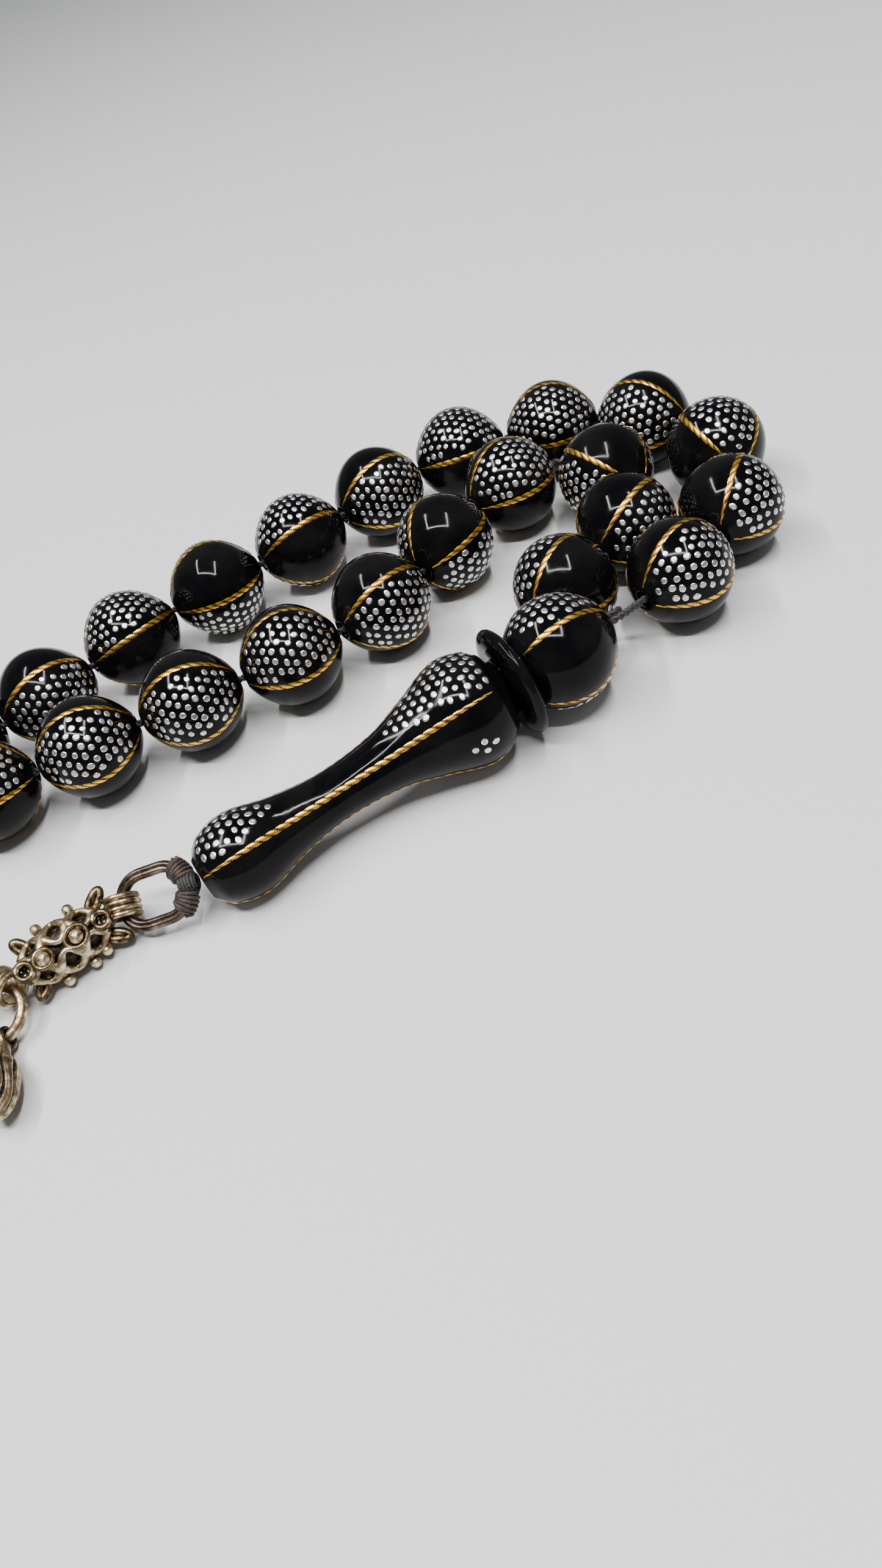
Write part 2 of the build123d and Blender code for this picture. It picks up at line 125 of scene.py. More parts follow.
# Where each visible bead's inlaid faces point, in degrees about its bore from level.
INLAY_ANGLES = {
    "bead_01": 139,
    "bead_02": 146,
    "bead_03": 100,
    "bead_04": 36,
    "bead_05": 51,
    "bead_06": 70,
    "bead_07": 24,
    "bead_08": 93,
    "bead_09": 147,
    "bead_10": 78,
    "bead_11": 17,
    "bead_24": 116,
    "bead_25": 141,
    "bead_26": 150,
    "bead_27": 131,
    "bead_28": 167,
    "bead_29": 200,
    "bead_30": 122,
    "bead_31": 174,
    "bead_32": 20,
    "bead_33": 133,
}


# ---- Materials ----


def new_material(name, base, roughness, metallic=0.0):
    """A Principled material with its plain values set, with its nodes, links and shader."""
    material = bpy.data.materials.new(name)
    material.use_nodes = True
    nodes = material.node_tree.nodes
    shader = nodes["Principled BSDF"]
    shader.inputs["Base Color"].default_value = (*base, 1)
    shader.inputs["Roughness"].default_value = roughness
    shader.inputs["Metallic"].default_value = metallic
    return material, nodes, material.node_tree.links, shader


def add_noise(nodes, links, scale, detail=4.0):
    """A noise texture in object coordinates, its scale in features per metre."""
    coordinates = nodes.new("ShaderNodeTexCoord")
    noise = nodes.new("ShaderNodeTexNoise")
    noise.inputs["Scale"].default_value = scale
    noise.inputs["Detail"].default_value = detail
    links.new(coordinates.outputs["Object"], noise.inputs["Vector"])
    return noise


def add_ramp(nodes, links, source, stops):
    """A colour ramp over a factor; stops are (position, colour)."""
    ramp = nodes.new("ShaderNodeValToRGB")
    elements = ramp.color_ramp.elements
    while len(elements) < len(stops):
        elements.new(0.5)
    for element, (position, colour) in zip(elements, stops):
        element.position = position
        element.color = (*colour, 1)
    links.new(source, ramp.inputs["Fac"])
    return ramp.outputs["Color"]


def add_bump(nodes, links, shader, height, strength, distance):
    """Bump on the shader from a height."""
    bump = nodes.new("ShaderNodeBump")
    bump.inputs["Strength"].default_value = strength
    bump.inputs["Distance"].default_value = distance
    links.new(height, bump.inputs["Height"])
    links.new(bump.outputs["Normal"], shader.inputs["Normal"])


def drive(nodes, links, shader, socket, source, stops):
    """Let a factor set one of the shader's values through a ramp."""
    links.new(add_ramp(nodes, links, source.outputs["Fac"], stops), shader.inputs[socket])


def grey(value):
    """A colour with three equal parts."""
    return (value, value, value)


def make_black_stone():
    """Polished black stone with faint wear and a very slightly uneven polish."""
    material, nodes, links, shader = new_material("black_stone", (0.003, 0.003, 0.004), 0.1)
    shader.inputs["Specular IOR Level"].default_value = 0.1
    wear = add_noise(nodes, links, 900, 6)
    polish = [(0.35, grey(0.05)), (0.75, grey(0.15))]
    drive(nodes, links, shader, "Roughness", wear, polish)
    grain = add_noise(nodes, links, 260, 3)
    blacks = [(0.4, (0.0015, 0.0015, 0.002)), (0.8, (0.006, 0.0055, 0.0055))]
    drive(nodes, links, shader, "Base Color", grain, blacks)
    ripple = add_noise(nodes, links, 420, 2)
    add_bump(nodes, links, shader, ripple.outputs["Fac"], 0.12, 0.00012)
    return material


def make_silver_pin():
    """Hand-set silver, each end filed a little differently."""
    material, nodes, links, shader = new_material("silver_pin", (0.8, 0.79, 0.77), 0.3, 1.0)
    tint = add_noise(nodes, links, 700, 3)
    silvers = [(0.3, (0.46, 0.43, 0.42)), (0.5, (0.8, 0.78, 0.76)), (0.75, (0.95, 0.94, 0.92))]
    drive(nodes, links, shader, "Base Color", tint, silvers)
    filing = add_noise(nodes, links, 5000, 4)
    add_bump(nodes, links, shader, filing.outputs["Fac"], 0.35, 0.00003)
    return material


def make_gold_wire():
    """Worn twisted brass-gold wire, darker in places."""
    material, nodes, links, shader = new_material("gold_wire", (0.78, 0.4, 0.03), 0.36, 1.0)
    tarnish = add_noise(nodes, links, 1100, 4)
    golds = [(0.28, (0.44, 0.21, 0.02)), (0.48, (0.84, 0.45, 0.035)), (0.75, (0.97, 0.62, 0.09))]
    drive(nodes, links, shader, "Base Color", tarnish, golds)
    return material


def make_worn_pin():
    """The duller middle of each pin's end."""
    material, nodes, links, shader = new_material("worn_pin", (0.62, 0.61, 0.6), 0.42, 1.0)
    tint = add_noise(nodes, links, 900, 3)
    greys = [(0.3, (0.3, 0.28, 0.28)), (0.55, (0.6, 0.58, 0.57)), (0.8, (0.85, 0.83, 0.82))]
    drive(nodes, links, shader, "Base Color", tint, greys)
    return material


def make_wire_groove_shade():
    """Painted shade: dark brown, varied by noise, for the low faces between two strands of the
    inlaid wire.
    """
    material, nodes, links, shader = new_material("wire_groove_painted_shade", (0.1, 0.055, 0.02), 0.5, 1.0)
    groove_shade_noise = add_noise(nodes, links, 2000, 3)
    browns = [(0.35, (0.03, 0.018, 0.01)), (0.7, (0.24, 0.13, 0.045))]
    drive(nodes, links, shader, "Base Color", groove_shade_noise, browns)
    return material


def make_black_thread():
    """Waxed black thread with fine fibres."""
    material, nodes, links, shader = new_material("black_thread", (0.01, 0.009, 0.009), 0.6)
    shader.inputs["Sheen Weight"].default_value = 0.06
    shader.inputs["Sheen Roughness"].default_value = 0.4
    fibre = add_noise(nodes, links, 6000, 3)
    blacks = [(0.35, (0.003, 0.0025, 0.0025)), (0.7, (0.028, 0.023, 0.02))]
    drive(nodes, links, shader, "Base Color", fibre, blacks)
    add_bump(nodes, links, shader, fibre.outputs["Fac"], 0.6, 0.00006)
    return material


def make_brown_thread():
    """Older thread of the lashing, brown where it has worn."""
    material, nodes, links, shader = new_material("brown_thread", (0.03, 0.018, 0.012), 0.65)
    shader.inputs["Sheen Weight"].default_value = 0.06
    shader.inputs["Sheen Roughness"].default_value = 0.5
    wear = add_noise(nodes, links, 1500, 4)
    browns = [(0.42, (0.006, 0.0045, 0.004)), (0.75, (0.075, 0.04, 0.02))]
    drive(nodes, links, shader, "Base Color", wear, browns)
    fibre = add_noise(nodes, links, 6000, 3)
    add_bump(nodes, links, shader, fibre.outputs["Fac"], 0.6, 0.00006)
    return material


def make_antique_silver():
    """Cast silver with noise patina and a pitted skin; its colour is lighter on sharp edges and
    darker in recesses, the dark there being painted shade.
    """
    material, nodes, links, shader = new_material("antique_silver", (0.6, 0.55, 0.46), 0.33, 1.0)
    geometry = nodes.new("ShaderNodeNewGeometry")
    patina = add_noise(nodes, links, 1300, 5)
    # Pointiness gives painted shade in recesses and lighter colour on sharp edges; the patina noise
    # varies both.
    patina_and_shade = nodes.new("ShaderNodeMath")
    patina_and_shade.operation = "MULTIPLY_ADD"
    patina_and_shade.inputs[1].default_value = 0.5
    links.new(patina.outputs["Fac"], patina_and_shade.inputs[0])
    links.new(geometry.outputs["Pointiness"], patina_and_shade.inputs[2])
    silvers = [
        (0.64, (0.025, 0.017, 0.01)),
        (0.75, (0.23, 0.165, 0.09)),
        (0.88, (0.75, 0.63, 0.43)),
    ]
    links.new(add_ramp(nodes, links, patina_and_shade.outputs["Value"], silvers), shader.inputs["Base Color"])
    drive(nodes, links, shader, "Roughness", patina, [(0.3, grey(0.5)), (0.7, grey(0.24))])
    pits = add_noise(nodes, links, 3200, 5)
    add_bump(nodes, links, shader, pits.outputs["Fac"], 0.5, 0.00008)
    return material


def make_dark_bronze():
    """The link's tarnished wire: brown-black, rubbed to coppery silver in places."""
    material, nodes, links, shader = new_material("dark_bronze", (0.3, 0.24, 0.2), 0.36, 1.0)
    rubbing = add_noise(nodes, links, 520, 5)
    coppers = [
        (0.35, (0.025, 0.018, 0.013)),
        (0.54, (0.1, 0.072, 0.055)),
        (0.72, (0.36, 0.27, 0.21)),
    ]
    drive(nodes, links, shader, "Base Color", rubbing, coppers)
    pits = add_noise(nodes, links, 2600, 5)
    add_bump(nodes, links, shader, pits.outputs["Fac"], 0.3, 0.00006)
    return material


def make_recess_shade():
    """Painted shade: near-black metal, varied by noise, inside the openwork, on the socket floors
    and in the grooves of the link and the pendant.
    """
    material, nodes, links, shader = new_material("dark_recess_painted_shade", (0.02, 0.016, 0.012), 0.6, 0.8)
    shade_noise = add_noise(nodes, links, 2400, 4)
    blacks = [(0.4, (0.008, 0.006, 0.005)), (0.75, (0.09, 0.07, 0.045))]
    drive(nodes, links, shader, "Base Color", shade_noise, blacks)
    return material


BLACK = make_black_stone()
SILVER = make_silver_pin()
WORN = make_worn_pin()
GOLD = make_gold_wire()
GROOVE_SHADE = make_wire_groove_shade()
THREAD = make_black_thread()
BROWN_THREAD = make_brown_thread()
ANTIQUE = make_antique_silver()
BRONZE = make_dark_bronze()
RECESS_SHADE = make_recess_shade()
INLAID = [BLACK, SILVER, GOLD, GROOVE_SHADE, WORN]
BLACK_INDEX, SILVER_INDEX, GOLD_INDEX, GROOVE_SHADE_INDEX, WORN_INDEX = range(5)


# ---- Mesh building ----


class Shape:
    """Vertices and faces gathered in millimetres, turned into one smooth mesh."""

    def __init__(self):
        self.points = []
        self.faces = []
        self.slots = []

    def add_faces(self, faces, slot):
        self.faces += faces
        self.slots += [slot] * len(faces)

    def add_grid(self, rows, slot, closed_across=True, closed_along=False):
        """A skin over rows of points; each row may close on itself, and so may the run of rows."""
        start = len(self.points)
        across = len(rows[0])
        for row in rows:
            self.points += row
        links_along = len(rows) if closed_along else len(rows) - 1
        links_across = across if closed_across else across - 1
        faces = []
        for i in range(links_along):
            here = start + i * across
            there = start + ((i + 1) % len(rows)) * across
            for j in range(links_across):
                k = (j + 1) % across
                faces.append((here + j, here + k, there + k, there + j))
        self.add_faces(faces, slot)

    def add_cap(self, row, centre, slot, flip=False):
        """A fan from a closed row to a centre point."""
        start = len(self.points)
        self.points += row
        self.points.append(centre)
        hub = start + len(row)
        faces = []
        for j in range(len(row)):
            k = (j + 1) % len(row)
            faces.append((start + k, start + j, hub) if flip else (start + j, start + k, hub))
        self.add_faces(faces, slot)

    def darken(self, across, is_dark):
        """Give slot 1, the painted shade, to the faces of a closed grid whose place across it is
        picked as dark.
        """
        for face in range(len(self.slots)):
            if is_dark(face % across):
                self.slots[face] = 1

    def mesh(self, name, materials):
        mesh = bpy.data.meshes.new(name)
        mesh.from_pydata([point * MM for point in self.points], [], self.faces)
        for material in materials:
            mesh.materials.append(material)
        mesh.polygons.foreach_set("material_index", self.slots)
        mesh.polygons.foreach_set("use_smooth", [True] * len(self.faces))
        mesh.update()
        return mesh


def place(name, mesh, body, matrix=None, nodes=()):
    """Put a mesh in the scene, riding on a body and standing for the named CAD nodes."""
    piece = bpy.data.objects.new(name, mesh)
    bpy.context.scene.collection.objects.link(piece)
    if matrix is not None:
        piece.matrix_world = matrix
    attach(piece, body)
    if nodes:
        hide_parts(*nodes)
    return piece


def axes_matrix(origin, x_axis, y_axis, z_axis):
    """Matrix of a frame given in millimetres by its origin and its three unit axes."""
    matrix = Matrix((x_axis, y_axis, z_axis)).transposed().to_4x4()
    matrix.translation = origin * MM
    return matrix


def frame_along(origin, axis, upwards=UP):
    """Frame whose X is the axis and whose Z is as near to upwards as it can be."""
    axis = axis.normalized()
    side = upwards.cross(axis).normalized()
    return axes_matrix(origin, axis, side, axis.cross(side))


def turned_row(x, radius, segments):
    """One ring of a turned body about X."""
    return [
        Vector((x, radius * cos(tau * j / segments), radius * sin(tau * j / segments)))
        for j in range(segments)
    ]


def add_turned(shape, profile, slot, segments=72):
    """A closed turned body from a closed profile of (x, radius) points."""
    rows = [turned_row(x, radius, segments) for x, radius in profile]
    shape.add_grid(rows, slot, closed_along=True)


def spindle(radius, half_length, fullness):
    """Radius of a rounded lemon at a distance from its middle."""
    return lambda x: radius * (1 - (x / half_length) ** 2) ** fullness


def spindle_end(mouth_radius, radius, half_length, fullness):
    """Distance at which the lemon has narrowed to its mouth."""
    return half_length * sqrt(1 - (mouth_radius / radius) ** (1 / fullness))


def cosine_steps(start, stop, steps):
    """Places between two ends, closer together towards them."""
    middle = (start + stop) / 2
    reach = (stop - start) / 2
    return [middle - reach * cos(pi * step / steps) for step in range(steps + 1)]


def bored_profile(radius_at, start, stop, bore_radius, steps=40):
    """Closed profile of an outline over a straight bore with rounded mouths."""
    lip = 0.2
    outer = [(x, radius_at(x)) for x in cosine_steps(start, stop, steps)]
    inner = [
        (stop - lip * 0.2, bore_radius + lip * 0.6),
        (stop - lip, bore_radius),
        (0.5 * (start + stop), bore_radius),
        (start + lip, bore_radius),
        (start + lip * 0.2, bore_radius + lip * 0.6),
    ]
    return outer + inner


def surface_frame(radius_at, x, angle):
    """Point, outward normal, along-tangent and round-tangent of a turned surface."""
    small = 0.01
    slope = (radius_at(x + small) - radius_at(x - small)) / (2 * small)
    outward = Vector((0, cos(angle), sin(angle)))
    along = (Vector((1, 0, 0)) + outward * slope).normalized()
    around = Vector((0, -sin(angle), cos(angle)))
    normal = around.cross(along) * -1
    if normal.dot(outward) < 0:
        normal = -normal
    return Vector((x, 0, 0)) + outward * radius_at(x), normal, along, around


def add_pin(shape, radius_at, x, angle, size, random):
    """The end of one silver pin: a slightly dished disc, a little out of round."""
    centre, normal, along, around = surface_frame(radius_at, x, angle)
    sides = 10
    squash = random.uniform(0.86, 1.12)
    turn = random.uniform(0, tau)

    def ring(radius, height):
        points = []
        for j in range(sides):
            a = turn + tau * j / sides
            offset = along * (cos(a) * radius * squash) + around * (sin(a) * radius / squash)
            points.append(centre + offset + normal * height)
        return points

    drop = size * size / (2 * BEAD_RADIUS)
    rim_share = 0.86
    outer = ring(size, -PIN_SUNK - drop)
    rim = ring(size * rim_share, PIN_PROUD - drop * rim_share**2)
    inner = ring(size * 0.5, PIN_PROUD - PIN_DISH)
    shape.add_grid([outer, rim, inner], SILVER_INDEX)
    shape.add_cap(inner, centre + normal * (PIN_PROUD - 2 * PIN_DISH), WORN_INDEX)


def add_pin_field(shape, radius_at, places, middle_angle, random, half_angle=45.0, limit=None):
    """Staggered rows of pins across one face, kept clear of the wires beside it."""
    for row, x in enumerate(places):
        radius = radius_at(x)
        room = radius * radians(half_angle) - WIRE_HALF_WIDTH - PIN_RADIUS - PIN_MARGIN
        if limit is not None:
            room = min(room, limit(x))
        if room < 0:
            continue
        offset = 0.5 * (row % 2)
        count = int((room / PIN_PITCH) + offset) * 2 + 2
        for j in range(-count, count + 1):
            across = (j + offset) * PIN_PITCH
            if abs(across) > room:
                continue
            angle = radians(middle_angle) + across / radius + random.gauss(0, PIN_SCATTER) / radius
            size = PIN_RADIUS * random.uniform(0.88, 1.06)
            add_pin(shape, radius_at, x + random.gauss(0, PIN_SCATTER), angle, size, random)


def add_wire(shape, radius_at, start, stop, angle):
    """Twisted wire laid flush along a turned surface: slanted ridges on a low strip, with painted
    shade on the faces low between the ridges.
    """
    count = int((stop - start) / WIRE_STEP)
    widths = (-1, -0.6, -0.2, 0.2, 0.6, 1)
    length = 0.0
    last = None
    rows = []
    ridges = []
    for i in range(count + 1):
        x = start + (stop - start) * i / count
        centre, normal, _, around = surface_frame(radius_at, x, radians(angle))
        if last is not None:
            length += (centre - last).length
        last = centre
        taper = min(1, 4 * min(i, count - i) / count + 0.25)
        row = []
        for u in widths:
            ridge = abs(sin(pi * (length / WIRE_TWIST_PITCH - WIRE_SLANT * u)))
            height = (WIRE_PROUD * (0.1 + ridge) + 0.02) * (1 - u * u) - 0.03 * u * u
            sideways = u * WIRE_HALF_WIDTH * taper
            bend = sideways * sideways / (2 * radius_at(x))
            row.append(centre + around * sideways + normal * (height - bend))
            ridges.append(ridge)
        rows.append(row)
    first = len(shape.slots)
    shape.add_grid(rows, GOLD_INDEX, closed_across=False)
    across = len(widths)
    # Faces low between the strands get the painted shade material.
    for i in range(count):
        for j in range(across - 1):
            corner = i * across + j
            height = (ridges[corner] + ridges[corner + across + 1]) / 2
            if height < GROOVE_SHADE_LEVEL:
                shape.slots[first + i * (across - 1) + j] = GROOVE_SHADE_INDEX


def even_places(start, stop, pitch, radius_at):
    """Places along a surface whose spacing, measured on the surface, is the pitch."""
    places = [start]
    x = start
    while True:
        slope = (radius_at(x + 0.01) - radius_at(x - 0.01)) / 0.02
        x += pitch / sqrt(1 + slope * slope)
        if x > stop:
            return places
        places.append(x)


# ---- Beads and separators ----


def make_bead_mesh(seed):
    """One inlaid bead: two pinned faces, two plain faces and four twisted wires."""
    random = Random(seed)
    radius_at = spindle(BEAD_RADIUS, BEAD_HALF_LENGTH, BEAD_FULLNESS)
    end = spindle_end(MOUTH_RADIUS, BEAD_RADIUS, BEAD_HALF_LENGTH, BEAD_FULLNESS)
    shape = Shape()
    add_turned(shape, bored_profile(radius_at, -end, end, BORE_RADIUS), BLACK_INDEX)
    reach = even_places(0.0, BEAD_PIN_REACH, PIN_ROW_PITCH, radius_at)
    places = [-x for x in reach[:0:-1]] + reach
    for face in (0, 180):
        add_pin_field(shape, radius_at, places, face, random)
    for wire in (45, 135, 225, 315):
        add_wire(shape, radius_at, -end + 0.15, end - 0.15, wire + random.uniform(-1.5, 1.5))
    return shape.mesh(f"inlaid_bead_{seed}", INLAID)


def make_separator_mesh():
    """A plain barrel separator."""
    radius_at = spindle(SEPARATOR_RADIUS, SEPARATOR_HALF_LENGTH, SEPARATOR_FULLNESS)
    end = spindle_end(MOUTH_RADIUS, SEPARATOR_RADIUS, SEPARATOR_HALF_LENGTH, SEPARATOR_FULLNESS)
    shape = Shape()
    add_turned(shape, bored_profile(radius_at, -end, end, BORE_RADIUS), BLACK_INDEX)
    return shape.mesh("plain_separator", INLAID)


spins = {
    joint["child"]: joint for joint in frame["joints"] if joint["name"].endswith("_spin")
}
bead_names = sorted(name for name in spins if name.startswith("bead_"))
separator_names = sorted(name for name in spins if name.startswith("separator_"))
bead_meshes = [make_bead_mesh(seed) for seed in range(5)]
roll_random = Random(7)


def spin_frame(name):
    """Frame of a threaded piece: X along its bore, Y level, Z up."""
    joint = spins[name]
    return frame_along(Vector(joint["pos_m"]) / MM, Vector(joint["axis"]))


for number, name in enumerate(bead_names):
    roll = INLAY_ANGLES.get(name, roll_random.uniform(0, 180))
    matrix = spin_frame(name) @ Matrix.Rotation(radians(roll), 4, "X")
    mesh = bead_meshes[number % len(bead_meshes)]
    place(f"inlaid_{name}", mesh, name, matrix, [name])

separator_mesh = make_separator_mesh()
for name in separator_names:
    place(f"plain_{name}", separator_mesh, name, spin_frame(name), [name])


# ---- Imame ----

IMAME_FRAME = frame_along(
    IMAME_TIP, Vector((cos(radians(IMAME_LEAN)), 0, sin(radians(IMAME_LEAN))))
)
IMAME_OUTLINE = [
    (0, 2.2),
    (1.5, 3.75),
    (4.9, 4.5),
    (9.6, 3.36),
    (15.2, 2.66),
    (21.5, 3.14),
    (26.0, 4.5),
    (30.6, 6.02),
    (33.4, 5.5),
    (34.7, 4.5),
]
# Where the pins of each bulge start and stop along the imame.
IMAME_LOWER_PINS = (1.3, 10.4)
IMAME_UPPER_PINS = (22.6, 33.6)


def smooth_outline(points):
    """Radius along an outline that passes smoothly through its points (Hermite pieces)."""
    slopes = []
    for i in range(len(points)):
        before = points[max(i - 1, 0)]
        after = points[min(i + 1, len(points) - 1)]
        slopes.append((after[1] - before[1]) / (after[0] - before[0]))

    def radius_at(x):
        last = len(points) - 2
        i = min(sum(1 for point in points[1:] if point[0] < x), last)
        (x0, r0), (x1, r1) = points[i], points[i + 1]
        width = x1 - x0
        t = (x - x0) / width
        return (
            (1 + 2 * t) * (1 - t) ** 2 * r0
            + t * (1 - t) ** 2 * width * slopes[i]
            + t * t * (3 - 2 * t) * r1
            + t * t * (t - 1) * width * slopes[i + 1]
        )

    return radius_at


def make_imame_body():
    """The vase: wires between four faces, pinned over both bulges of two of them."""
    random = Random(21)
    radius_at = smooth_outline(IMAME_OUTLINE)
    stop = IMAME_OUTLINE[-1][0]
    outer = [(x, radius_at(x)) for x in cosine_steps(0, stop, 70)]
    neck_radius = 3.1
    neck = [(stop + 0.02, 3.9), (stop - 0.05, 3.4), (stop + 0.2, neck_radius)]
    neck.append((COLLAR_AT, neck_radius))
    bore = [(COLLAR_AT, IMAME_BORE_RADIUS), (0.3, IMAME_BORE_RADIUS), (0, IMAME_BORE_RADIUS + 0.3)]
    shape = Shape()
    add_turned(shape, outer + neck + bore, BLACK_INDEX, 96)
    lower = even_places(*IMAME_LOWER_PINS, PIN_ROW_PITCH, radius_at)
    upper = even_places(*IMAME_UPPER_PINS, PIN_ROW_PITCH, radius_at)
    flower = ((29.0, 0), (30.1, -0.62), (30.1, 0.62), (31.2, 0))
    for face in (90, 270):
        add_pin_field(shape, radius_at, lower, face, random, limit=lambda x: (11 - x) * 0.42)
        add_pin_field(shape, radius_at, upper, face, random, limit=lambda x: (x - 21.6) * 0.5)
    for face in (0, 180):
        for x, across in flower:
            angle = radians(face) + across / radius_at(x)
            add_pin(shape, radius_at, x, angle, PIN_RADIUS, random)
    for wire in (45, 135, 225, 315):
        add_wire(shape, radius_at, 0.3, 33.2, wire)
    return shape.mesh("inlaid_imame_body", INLAID)


def make_collar():
    """The plain polished disc: thick at its bore, drawn out to a narrow rounded rim."""
    middle = COLLAR_AT + COLLAR_THICKNESS / 2
    flank = [(1.0, 3.1), (1.17, 3.7), (1.02, 4.6), (0.78, 5.3), (0.56, 5.75), (0.3, 6.02)]
    profile = [(middle - half, radius) for half, radius in flank]
    profile.append((middle, COLLAR_RADIUS))
    profile += [(middle + half, radius) for half, radius in reversed(flank)]
    top = middle + COLLAR_THICKNESS / 2
    bottom = middle - COLLAR_THICKNESS / 2
    lip_radius = IMAME_BORE_RADIUS + 0.4
    profile += [(top, lip_radius), (top, IMAME_BORE_RADIUS)]
    profile += [(bottom, IMAME_BORE_RADIUS), (bottom, lip_radius)]
    shape = Shape()
    add_turned(shape, profile, BLACK_INDEX, 96)
    return shape.mesh("plain_imame_collar", INLAID)


def make_knob():
    """The knob: pinned on the half away from the collar, with its own four wires."""
    random = Random(31)
    radius_at = spindle(KNOB_RADIUS, KNOB_HALF_LENGTH, KNOB_FULLNESS)
    end = spindle_end(
        IMAME_BORE_RADIUS + 0.3, KNOB_RADIUS, KNOB_HALF_LENGTH, KNOB_FULLNESS
    )
    profile = bored_profile(radius_at, -KNOB_BASE_TO_CENTRE, end, IMAME_BORE_RADIUS)
    shape = Shape()
    add_turned(shape, profile, BLACK_INDEX, 96)
    places = even_places(KNOB_PINS_START, BEAD_PIN_REACH, PIN_ROW_PITCH, radius_at)
    for face in (70, 250):
        add_pin_field(shape, radius_at, places, face, random, limit=lambda x: (x + 4.6) * 1.6)
    for wire in (25, 115, 205, 295):
        add_wire(shape, radius_at, -KNOB_BASE_TO_CENTRE + 0.3, end - 0.2, wire)
    return shape.mesh("inlaid_imame_knob", INLAID)


place("inlaid_imame_body", make_imame_body(), ROOT, IMAME_FRAME, ["imame_body"])
place("plain_imame_collar", make_collar(), ROOT, IMAME_FRAME, ["imame_collar"])
place(
    "inlaid_imame_knob",
    make_knob(),
    ROOT,
    IMAME_FRAME @ Matrix.Translation((KNOB_CENTRE_AT * MM, 0, 0)),
    ["imame_knob"],
)


# ---- Thread ----


def read_path(points, name):
    """Evenly read points of a smooth curve through the route, in millimetres."""
    curve = bpy.data.curves.new(name, "CURVE")
    curve.dimensions = "3D"
    curve.resolution_u = 12
    spline = curve.splines.new("NURBS")
    spline.points.add(len(points) - 1)
    for control, point in zip(spline.points, points):
        control.co = (*point, 1)
    spline.order_u = 3
    spline.use_endpoint_u = True
    holder = bpy.data.objects.new(name, curve)
    mesh = bpy.data.meshes.new_from_object(holder)
    path = [vertex.co.copy() for vertex in mesh.vertices]
    bpy.data.objects.remove(holder)
    return path


def resample(path, step):
    """The same path as points a fixed step apart."""
    resampled = [path[0]]
    carried = 0.0
    for start, stop in zip(path, path[1:]):
        length = (stop - start).length
        while carried + length >= step:
            start = start + (stop - start) * ((step - carried) / length)
            length = (stop - start).length
            carried = 0.0
            resampled.append(start)
            if length < 1e-9:
                break
        carried += length
    return resampled


def moving_frames(path):
    """Frames carried along a path without twisting: (point, side, other side)."""
    frames = []
    tangent = (path[1] - path[0]).normalized()
    side = tangent.orthogonal().normalized()
    for i, point in enumerate(path):
        ahead = path[min(i + 1, len(path) - 1)] - path[max(i - 1, 0)]
        tangent = ahead.normalized()
        side = (side - tangent * side.dot(tangent)).normalized()
        frames.append((point, side, tangent.cross(side)))
    return frames


def add_strand(shape, path, radius, sides, slot):
    """A round strand along a path, with closed ends."""
    rows = []
    angles = [tau * j / sides for j in range(sides)]
    for point, side, other in moving_frames(path):
        rows.append(
            [point + side * (radius * cos(a)) + other * (radius * sin(a)) for a in angles]
        )
    shape.add_grid(rows, slot)
    shape.add_cap(rows[0], path[0], slot, flip=True)
    shape.add_cap(rows[-1], path[-1], slot)


def add_twisted(shape, path, plies, ply_radius, offset, pitch, slot, sides=6):
    """Plies wound round each other along a path whose points are evenly spaced."""
    step = (path[1] - path[0]).length
    frames = moving_frames(path)
    for ply in range(plies):
        strand = []
        for i, (point, side, other) in enumerate(frames):
            angle = tau * (ply / plies + i * step / pitch)
            strand.append(point + side * (offset * cos(angle)) + other * (offset * sin(angle)))
        add_strand(shape, strand, ply_radius, sides, slot)


def imame_point(x, y=0.0, z=0.0):
    """A point given in the imame's own frame, in millimetres."""
    return IMAME_FRAME @ (Vector((x, y, z)) * MM) / MM


# How far from a piece's middle the string lies straight in its bore.
BEAD_THREAD_REACH = 5.6
SEPARATOR_THREAD_REACH = 3.0
# How many beads come before each separator.
BEADS_BEFORE_SEPARATORS = (11, 22)

threaded = list(bead_names)
for number, name in reversed(list(zip(BEADS_BEFORE_SEPARATORS, separator_names))):
    threaded.insert(number, name)

half_spacing = STRAND_SPACING / 2
inside_imame = (0.2, 25, 47)
route = [imame_point(x, -half_spacing) for x in inside_imame]
route.append(FIRST_STRAND_TURN)
for name in threaded:
    joint = spins[name]
    centre = Vector(joint["pos_m"]) / MM
    axis = Vector(joint["axis"])
    reach = BEAD_THREAD_REACH if name in bead_names else SEPARATOR_THREAD_REACH
    route += [centre - axis * reach, centre, centre + axis * reach]
route += SECOND_STRAND_SLACK
route += [imame_point(x, half_spacing) for x in reversed(inside_imame)]

thread_shape = Shape()
thread_path = resample(read_path(route, "thread_route"), THREAD_STEP)
add_twisted(
    thread_shape, thread_path, 2, THREAD_PLY_RADIUS, THREAD_PLY_OFFSET, THREAD_TWIST_PITCH, 0
)
thread_mesh = thread_shape.mesh("twisted_string", [THREAD])
place("twisted_string", thread_mesh, ROOT, None, ["string"])


# ---- Tassel frames ----

swings = {joint["name"]: joint for joint in frame["joints"] if joint["name"].endswith("_swing")}


def swing_place(name):
    """Where a tassel joint is, in millimetres."""
    return Vector(swings[name]["pos_m"]) / MM


def swing_axis(name):
    """The line that a tassel joint swings about."""
    return Vector(swings[name]["axis"])


